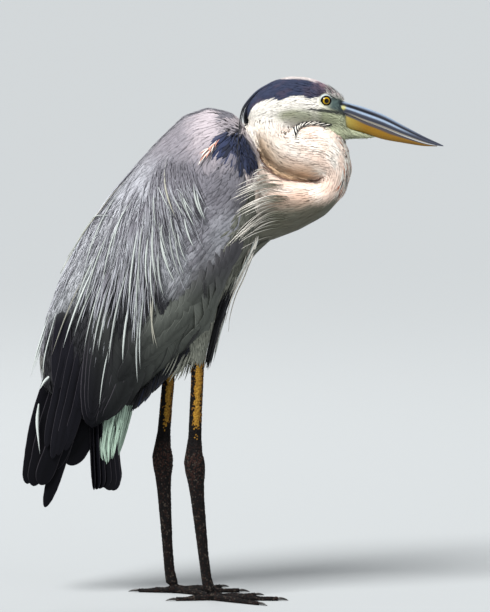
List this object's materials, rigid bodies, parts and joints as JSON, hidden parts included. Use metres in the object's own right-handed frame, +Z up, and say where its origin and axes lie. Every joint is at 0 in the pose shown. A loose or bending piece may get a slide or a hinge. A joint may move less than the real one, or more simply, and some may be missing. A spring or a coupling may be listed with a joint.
{
  "type": "great blue heron",
  "caption": "Great blue heron standing at rest with its neck folded, wings closed and bill a little below level, as a still life-size model.",
  "frame": {"origin": "on the floor, under the middle of the bird's length and width", "axes": "+X the way the bird faces, +Z up, -Y its right side"},
  "size_m": [0.515, 0.1606, 0.6378],
  "materials": {
    "bill_lower": "ochre horn, slightly glossy",
    "bill_upper": "dark horn, slightly glossy",
    "breast_plumes": "long pale plumes",
    "claw_left_hind": "black horn",
    "claw_left_inner": "black horn",
    "claw_left_middle": "black horn",
    "claw_left_outer": "black horn",
    "claw_right_hind": "black horn",
    "claw_right_inner": "black horn",
    "claw_right_middle": "black horn",
    "claw_right_outer": "black horn",
    "crest_left": "long black plumes",
    "crest_right": "long black plumes",
    "eye_left": "wet yellow eye with a black pupil",
    "eye_right": "wet yellow eye with a black pupil",
    "foot_left": "scaled blackish skin",
    "foot_right": "scaled blackish skin",
    "head": "white face feathers with a black crown stripe",
    "neck_bend": "cream neck feathers",
    "neck_lower": "cream-grey neck feathers, streaked dark at the front",
    "neck_upper": "cream neck feathers",
    "primaries_left": "slate-black flight feathers",
    "primaries_right": "slate-black flight feathers",
    "scapulars_left": "long pale grey plumes over a grey mantle",
    "scapulars_right": "long pale grey plumes over a grey mantle",
    "shank_left": "scaled orange-brown skin, darker towards the heel",
    "shank_right": "scaled orange-brown skin, darker towards the heel",
    "tail": "slate-black tail feathers",
    "tarsus_left": "scaled blackish skin",
    "tarsus_right": "scaled blackish skin",
    "thigh_left": "pale downy feathers",
    "thigh_right": "pale downy feathers",
    "trunk": "soft grey contour feathers, black belly stripes and white under the tail",
    "wing_left": "grey wing coverts, darker below",
    "wing_right": "grey wing coverts, darker below"
  },
  "bodies": {
    "root": {"bill_lower": "bill_lower", "bill_upper": "bill_upper", "breast_plumes": "breast_plumes", "claw_left_hind": "claw_left_hind", "claw_left_inner": "claw_left_inner", "claw_left_middle": "claw_left_middle", "claw_left_outer": "claw_left_outer", "claw_right_hind": "claw_right_hind", "claw_right_inner": "claw_right_inner", "claw_right_middle": "claw_right_middle", "claw_right_outer": "claw_right_outer", "crest_left": "crest_left", "crest_right": "crest_right", "eye_left": "eye_left", "eye_right": "eye_right", "foot_left": "foot_left", "foot_right": "foot_right", "head": "head", "neck_bend": "neck_bend", "neck_lower": "neck_lower", "neck_upper": "neck_upper", "primaries_left": "primaries_left", "primaries_right": "primaries_right", "scapulars_left": "scapulars_left", "scapulars_right": "scapulars_right", "shank_left": "shank_left", "shank_right": "shank_right", "tail": "tail", "tarsus_left": "tarsus_left", "tarsus_right": "tarsus_right", "thigh_left": "thigh_left", "thigh_right": "thigh_right", "trunk": "trunk", "wing_left": "wing_left", "wing_right": "wing_right"}
  },
  "joints": []
}
